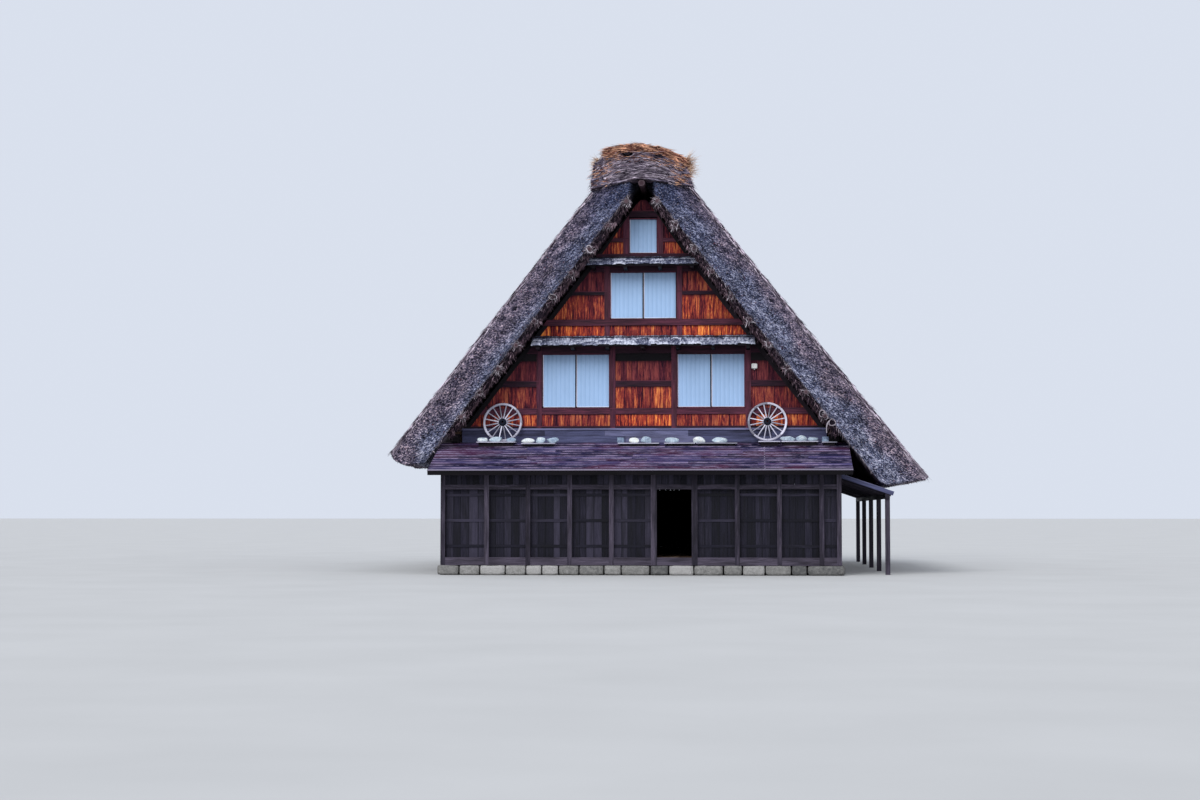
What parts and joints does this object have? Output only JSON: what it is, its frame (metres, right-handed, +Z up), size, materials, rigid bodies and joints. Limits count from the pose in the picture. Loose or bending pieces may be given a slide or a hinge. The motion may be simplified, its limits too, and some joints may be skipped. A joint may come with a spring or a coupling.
{
  "type": "minka farmhouse",
  "caption": "Steep thatched timber farmhouse with windowed gables, bark eaves, plank lean-to roofs and a bound straw ridge, on stone footings.",
  "frame": {"origin": "on the ground, under the middle of the whole outline from eave to eave", "axes": "-Y out of the front gable, +X to the right seen from the front, +Z up"},
  "size_m": [13.99, 16.8, 11.18],
  "materials": {
    "footing_stone": "rough",
    "floor_boards": "worn",
    "dark_timber": "weathered",
    "shutter_boards": "weathered",
    "leanto_planks": "weathered",
    "sill_planks": "weathered",
    "cedar_boards": "satin",
    "eave_bark": "weathered",
    "window_sheet": "ribbed",
    "roof_logs": "rough",
    "thatch": "cut reed",
    "ridge_thatch": "layered reed",
    "ridge_straw": "rough straw",
    "grey_wood": "weathered",
    "white_case": "satin"
  },
  "bodies": {
    "root": {"front_footing": "footing_stone", "back_footing": "footing_stone", "left_footing": "footing_stone", "right_footing": "footing_stone", "ground_floor": "floor_boards", "second_floor": "floor_boards", "third_floor": "floor_boards", "fourth_floor": "floor_boards", "left_wall": "dark_timber", "right_wall": "dark_timber", "left_shutters": "shutter_boards", "right_shutters": "shutter_boards", "right_leanto_roof": "leanto_planks", "front_wall_left": "dark_timber", "front_wall_right": "dark_timber", "front_door_frame": "dark_timber", "front_shutters_left": "shutter_boards", "front_shutters_right": "shutter_boards", "entrance_door": "shutter_boards", "front_leanto_roof": "leanto_planks", "front_gable_sill": "sill_planks", "front_gable_second": "cedar_boards", "front_gable_third": "cedar_boards", "front_gable_fourth": "cedar_boards", "front_lower_eave": "eave_bark", "front_upper_eave": "eave_bark", "front_window_second_left": "window_sheet", "front_window_second_right": "window_sheet", "front_window_third": "window_sheet", "front_window_fourth": "window_sheet", "back_wall": "dark_timber", "back_shutters_left": "shutter_boards", "back_shutters_right": "shutter_boards", "back_leanto_roof": "leanto_planks", "back_gable_sill": "sill_planks", "back_gable_second": "cedar_boards", "back_gable_third": "cedar_boards", "back_gable_fourth": "cedar_boards", "back_lower_eave": "eave_bark", "back_upper_eave": "eave_bark", "back_window_second_left": "window_sheet", "back_window_second_right": "window_sheet", "back_window_third": "window_sheet", "back_window_fourth": "window_sheet", "roof_frame_left": "roof_logs", "roof_frame_right": "roof_logs", "ridge_beam": "roof_logs", "thatch_left": "thatch", "thatch_right": "thatch", "ridge_cap": "ridge_thatch", "ridge_mat": "ridge_straw", "wheel_board_left": "grey_wood", "wheel_board_right": "grey_wood", "cart_wheel_left": "grey_wood", "cart_wheel_right": "grey_wood", "wall_box": "white_case"}
  },
  "joints": []
}
